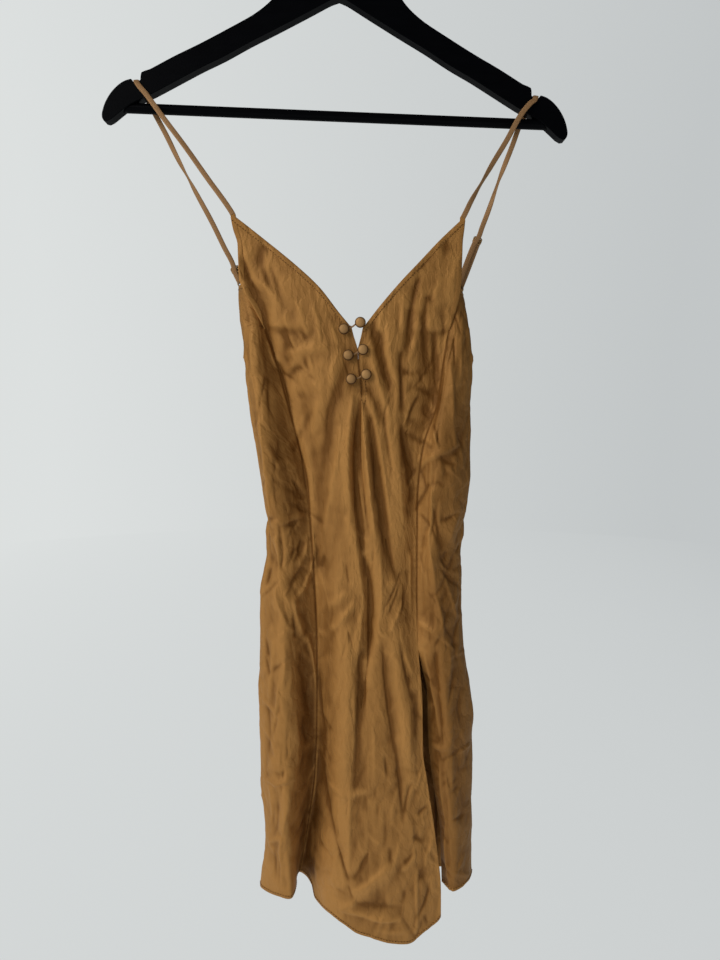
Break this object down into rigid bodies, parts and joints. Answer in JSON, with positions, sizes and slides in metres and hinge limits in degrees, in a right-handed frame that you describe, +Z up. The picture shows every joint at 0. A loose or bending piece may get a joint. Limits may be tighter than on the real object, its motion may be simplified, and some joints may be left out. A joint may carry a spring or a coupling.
{
  "type": "slip dress on a hanger",
  "caption": "Mini slip dress in caramel satin with a V neck, covered buttons, thin adjustable straps and a thigh slit, hung by its straps on a flat black wooden hanger.",
  "frame": {"origin": "inner top of the hanger's hook, where a rod or wall hook carries it", "axes": "+X to the viewer's right when the dress is seen from the front, +Y away from the viewer towards the dress's back, +Z up"},
  "size_m": [0.4503, 0.0722, 1.0604],
  "materials": {
    "satin": "caramel satin, soft sheen, many fine creases",
    "strap_satin": "folded satin ribbon",
    "button_satin": "satin stretched over a dome",
    "black_wood": "black satin lacquer",
    "steel": "plain wire",
    "gilt": "polished"
  },
  "bodies": {
    "root": {"front_panel": "satin", "side_panel_left": "satin", "side_panel_right": "satin", "back_panel": "satin", "neck_binding_left": "satin", "neck_binding_right": "satin", "cup_armhole_binding_left": "satin", "cup_armhole_binding_right": "satin", "underarm_binding_left": "satin", "underarm_binding_right": "satin", "back_binding": "satin", "hem_front": "satin", "hem_side_left": "satin", "hem_side_right": "satin", "hem_back": "satin", "strap_left": "strap_satin", "strap_right": "strap_satin", "button_left_1": "button_satin", "button_left_2": "button_satin", "button_left_3": "button_satin", "button_right_1": "button_satin", "button_right_2": "button_satin", "button_right_3": "button_satin", "button_loop_1": "strap_satin", "button_loop_2": "strap_satin", "button_loop_3": "strap_satin", "slider_left": "gilt", "slider_right": "gilt", "ring_left": "gilt", "ring_right": "gilt", "hanger_arms": "black_wood", "hanger_bar": "black_wood", "hanger_hook": "steel"}
  },
  "joints": []
}
